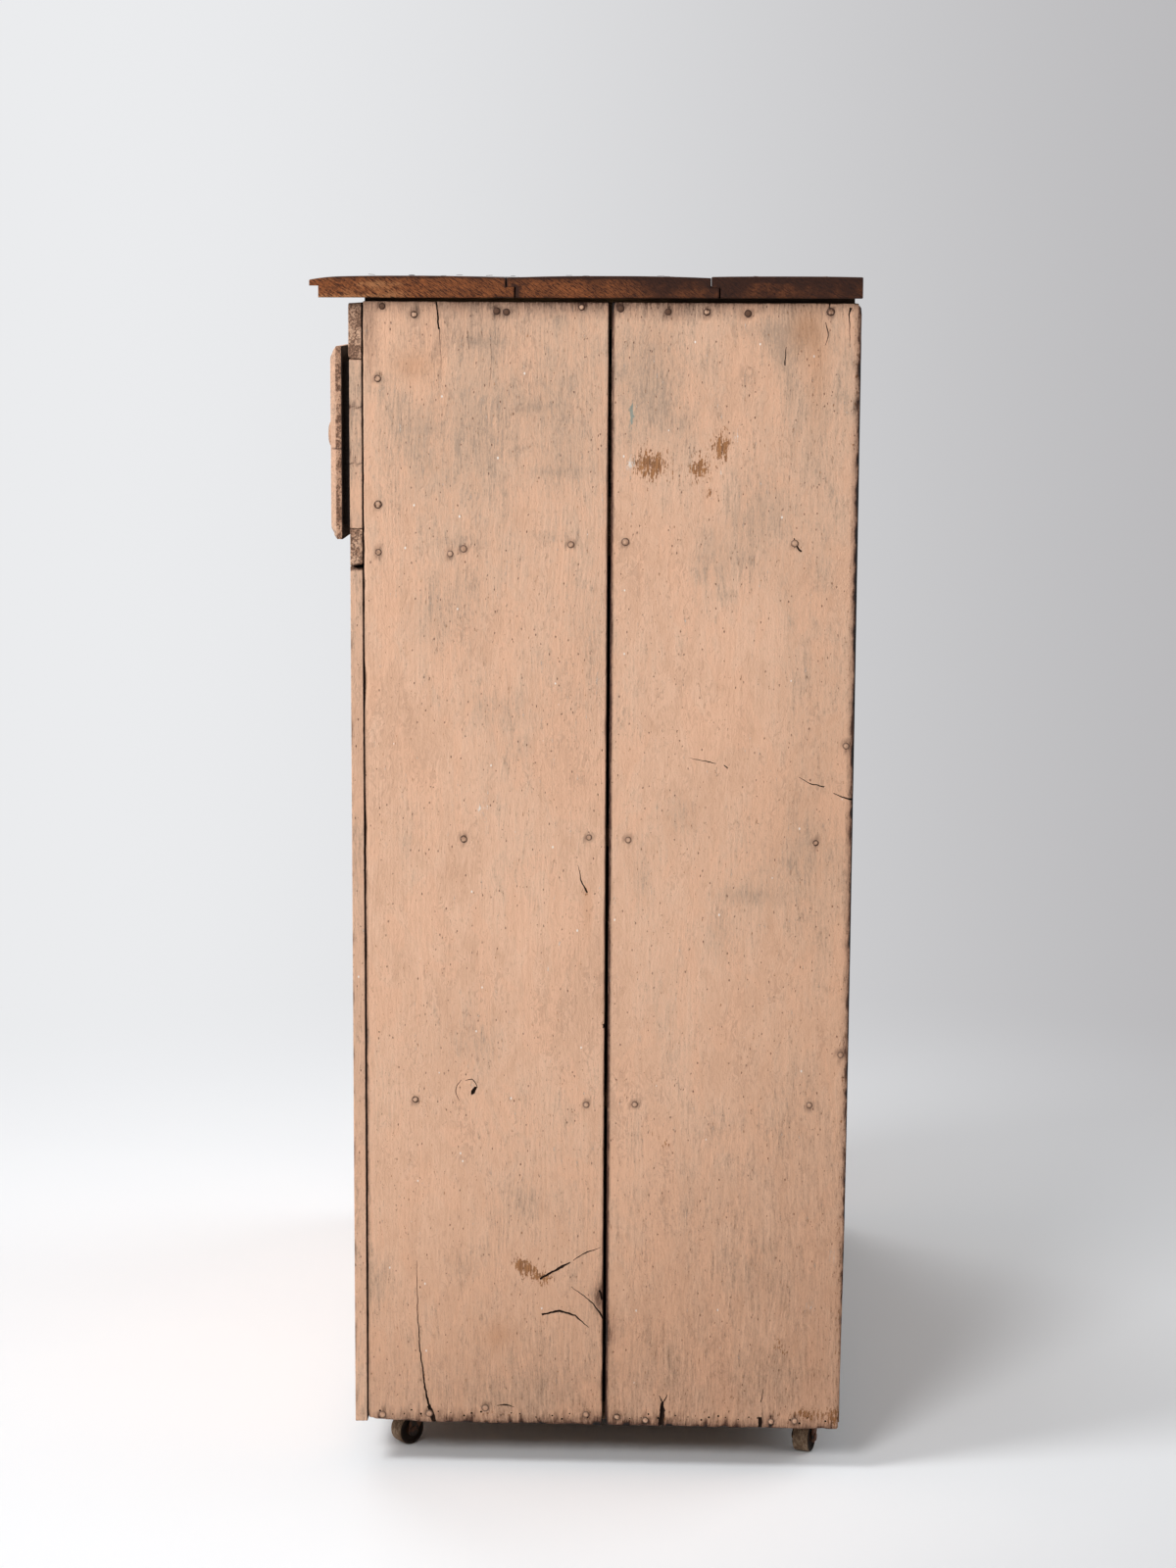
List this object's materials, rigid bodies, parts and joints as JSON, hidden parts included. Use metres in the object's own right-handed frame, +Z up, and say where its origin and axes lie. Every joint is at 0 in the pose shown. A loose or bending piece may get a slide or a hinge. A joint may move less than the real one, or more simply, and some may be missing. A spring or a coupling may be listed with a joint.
{
  "type": "cupboard",
  "caption": "Tall painted plank cupboard on swivel casters, with side by side drawers over panelled doors under a dark board top.",
  "frame": {"origin": "on the floor under the middle of the whole outline, knob tips and top overhang included", "axes": "+Z up; -Y is the front with the drawers and doors; +X is the right-hand side seen from the front"},
  "size_m": [0.926, 0.5484, 1.21],
  "materials": {
    "painted_wood": "worn satin paint, peach over grey-green, on planks",
    "stained_wood": "dark stained, worn and oiled",
    "bare_wood": "aged bare softwood",
    "wheel_wood": "worn turned hardwood",
    "dark_iron": "dark oxidised iron",
    "rusty_steel": "rusted steel"
  },
  "bodies": {
    "case": {"side_right_front_board": "painted_wood", "side_right_rear_board": "painted_wood", "side_left_front_board": "painted_wood", "side_left_rear_board": "painted_wood", "top_front_board": "stained_wood", "top_middle_board": "stained_wood", "top_rear_board": "stained_wood", "top_cleats": "bare_wood", "top_rail": "painted_wood", "middle_rail": "painted_wood", "bottom_rail": "painted_wood", "drawer_stile_right": "painted_wood", "drawer_stile_left": "painted_wood", "drawer_stile_center": "painted_wood", "door_stile_right": "painted_wood", "door_stile_left": "painted_wood", "door_stile_center": "painted_wood", "drawer_deck": "bare_wood", "drawer_runners": "bare_wood", "drawer_guides": "bare_wood", "upper_shelf": "bare_wood", "lower_shelf": "bare_wood", "bottom_board": "bare_wood", "back_boards": "bare_wood", "side_nails": "rusty_steel", "frame_nails": "rusty_steel", "hinge_fixed_leaves": "dark_iron", "hinge_pins": "dark_iron", "turn_button_screw": "rusty_steel", "caster_plates": "dark_iron", "caster_screws": "rusty_steel"},
    "drawer_right": {"drawer_right_front": "painted_wood", "drawer_right_sides": "bare_wood", "drawer_right_back": "bare_wood", "drawer_right_bottom": "bare_wood", "drawer_right_knob": "painted_wood"},
    "drawer_left": {"drawer_left_front": "painted_wood", "drawer_left_sides": "bare_wood", "drawer_left_back": "bare_wood", "drawer_left_bottom": "bare_wood", "drawer_left_knob": "painted_wood"},
    "door_right": {"door_right_stiles": "painted_wood", "door_right_rails": "painted_wood", "door_right_panels": "painted_wood", "door_right_knob": "painted_wood", "door_right_leaves": "dark_iron"},
    "door_left": {"door_left_stiles": "painted_wood", "door_left_rails": "painted_wood", "door_left_panels": "painted_wood", "door_left_knob": "painted_wood", "door_left_leaves": "dark_iron"},
    "button": {"turn_button": "painted_wood"},
    "caster_front_right": {"caster_front_right_fork": "dark_iron"},
    "caster_front_right_roller": {"caster_front_right_wheel": "wheel_wood"},
    "caster_front_left": {"caster_front_left_fork": "dark_iron"},
    "caster_front_left_roller": {"caster_front_left_wheel": "wheel_wood"},
    "caster_rear_right": {"caster_rear_right_fork": "dark_iron"},
    "caster_rear_right_roller": {"caster_rear_right_wheel": "wheel_wood"},
    "caster_rear_left": {"caster_rear_left_fork": "dark_iron"},
    "caster_rear_left_roller": {"caster_rear_left_wheel": "wheel_wood"}
  },
  "joints": [
    {"name": "drawer_right_slide", "type": "slide", "parent": "case", "child": "drawer_right", "axis": [0, -1, 0], "range_m": [-0.0097, 0.3]},
    {"name": "drawer_left_slide", "type": "slide", "parent": "case", "child": "drawer_left", "axis": [0, -1, 0], "range_m": [-0.0097, 0.3]},
    {"name": "door_right_hinge", "type": "hinge", "parent": "case", "child": "door_right", "pos_m": [0.411, -0.2271, 0.506], "axis": [0, 0, 1], "range_deg": [0, 170]},
    {"name": "door_left_hinge", "type": "hinge", "parent": "case", "child": "door_left", "pos_m": [-0.411, -0.2271, 0.506], "axis": [0, 0, -1], "range_deg": [0, 170]},
    {"name": "button_turn", "type": "hinge", "parent": "case", "child": "button", "pos_m": [0, -0.2259, 0.622], "axis": [0, -1, 0], "range_deg": [-90, 90]},
    {"name": "caster_front_right_swivel", "type": "hinge", "parent": "case", "child": "caster_front_right", "pos_m": [0.39, -0.1723, 0.03], "axis": [0, 0, 1], "continuous": true},
    {"name": "caster_front_right_roll", "type": "hinge", "parent": "caster_front_right", "child": "caster_front_right_roller", "pos_m": [0.39546, -0.17815, 0.0155], "axis": [0.7314, 0.682, 0], "continuous": true},
    {"name": "caster_front_left_swivel", "type": "hinge", "parent": "case", "child": "caster_front_left", "pos_m": [-0.39, -0.1723, 0.03], "axis": [0, 0, 1], "continuous": true},
    {"name": "caster_front_left_roll", "type": "hinge", "parent": "caster_front_left", "child": "caster_front_left_roller", "pos_m": [-0.39546, -0.17815, 0.0155], "axis": [-0.7314, 0.682, 0], "continuous": true},
    {"name": "caster_rear_right_swivel", "type": "hinge", "parent": "case", "child": "caster_rear_right", "pos_m": [0.39, 0.2397, 0.03], "axis": [0, 0, 1], "continuous": true},
    {"name": "caster_rear_right_roll", "type": "hinge", "parent": "caster_rear_right", "child": "caster_rear_right_roller", "pos_m": [0.39761, 0.23723, 0.0155], "axis": [0.309, 0.9511, 0], "continuous": true},
    {"name": "caster_rear_left_swivel", "type": "hinge", "parent": "case", "child": "caster_rear_left", "pos_m": [-0.39, 0.2397, 0.03], "axis": [0, 0, 1], "continuous": true},
    {"name": "caster_rear_left_roll", "type": "hinge", "parent": "caster_rear_left", "child": "caster_rear_left_roller", "pos_m": [-0.39761, 0.23723, 0.0155], "axis": [-0.309, 0.9511, 0], "continuous": true}
  ]
}
